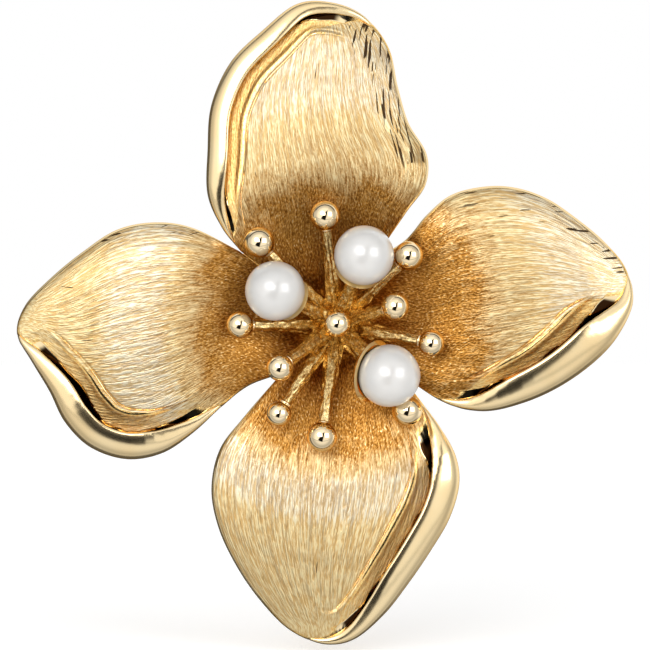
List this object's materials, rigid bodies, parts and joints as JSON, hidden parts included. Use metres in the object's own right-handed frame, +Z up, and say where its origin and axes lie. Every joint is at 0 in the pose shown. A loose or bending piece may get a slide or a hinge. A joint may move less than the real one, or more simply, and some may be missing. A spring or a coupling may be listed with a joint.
{
  "type": "flower brooch",
  "caption": "Flower-shaped brooch of curled gold petals with pearls and ball-tipped stamens at its centre, and a hinged pin stem with a turning safety catch on its back.",
  "frame": {"origin": "middle of the pin stem's straight wall, on its axis, with the pin lying in the catch", "axes": "+Z up as worn, +X to the right seen from the front and along the pin stem towards its point, the flower faces -Y"},
  "size_m": [0.0516, 0.0164, 0.054],
  "materials": {
    "petal_gold": "engraved with fine lines on the front, polished edges and back",
    "polished_gold": "mirror polished",
    "stem_gold": "finely textured",
    "pearl": "nacre, soft gloss"
  },
  "bodies": {
    "brooch": {"petal_top": "petal_gold", "petal_right": "petal_gold", "petal_bottom": "petal_gold", "petal_left": "petal_gold", "centre_boss": "polished_gold", "bead_01": "polished_gold", "bead_02": "polished_gold", "bead_03": "polished_gold", "bead_04": "polished_gold", "bead_05": "polished_gold", "bead_06": "polished_gold", "bead_07": "polished_gold", "bead_08": "polished_gold", "bead_09": "polished_gold", "bead_10": "polished_gold", "bead_11": "polished_gold", "stamen_01": "stem_gold", "stamen_02": "stem_gold", "stamen_03": "stem_gold", "stamen_04": "stem_gold", "stamen_05": "stem_gold", "stamen_06": "stem_gold", "stamen_07": "stem_gold", "stamen_08": "stem_gold", "stamen_09": "stem_gold", "stamen_10": "stem_gold", "stamen_11": "stem_gold", "pearl_a": "pearl", "pearl_b": "pearl", "pearl_c": "pearl", "pearl_cup_a": "polished_gold", "pearl_cup_b": "polished_gold", "pearl_cup_c": "polished_gold", "pearl_stem_a": "stem_gold", "pearl_stem_b": "stem_gold", "pearl_stem_c": "stem_gold", "calyx_cone": "polished_gold", "back_plate": "polished_gold", "shank_collar": "polished_gold", "strut_left": "polished_gold", "strut_right": "polished_gold", "hinge_base": "polished_gold", "hinge_rivet": "polished_gold", "catch_housing": "polished_gold"},
    "pin": {"pin_stem": "polished_gold"},
    "rotor": {"catch_rotor": "polished_gold"}
  },
  "joints": [
    {"name": "pin_hinge", "type": "hinge", "parent": "brooch", "child": "pin", "pos_m": [-0.0115, 0, 0], "axis": [0, 0, 1], "range_deg": [0, 100]},
    {"name": "catch_turn", "type": "hinge", "parent": "brooch", "child": "rotor", "pos_m": [0.0125, 0, 0], "axis": [-1, 0, 0], "range_deg": [0, 160]}
  ]
}
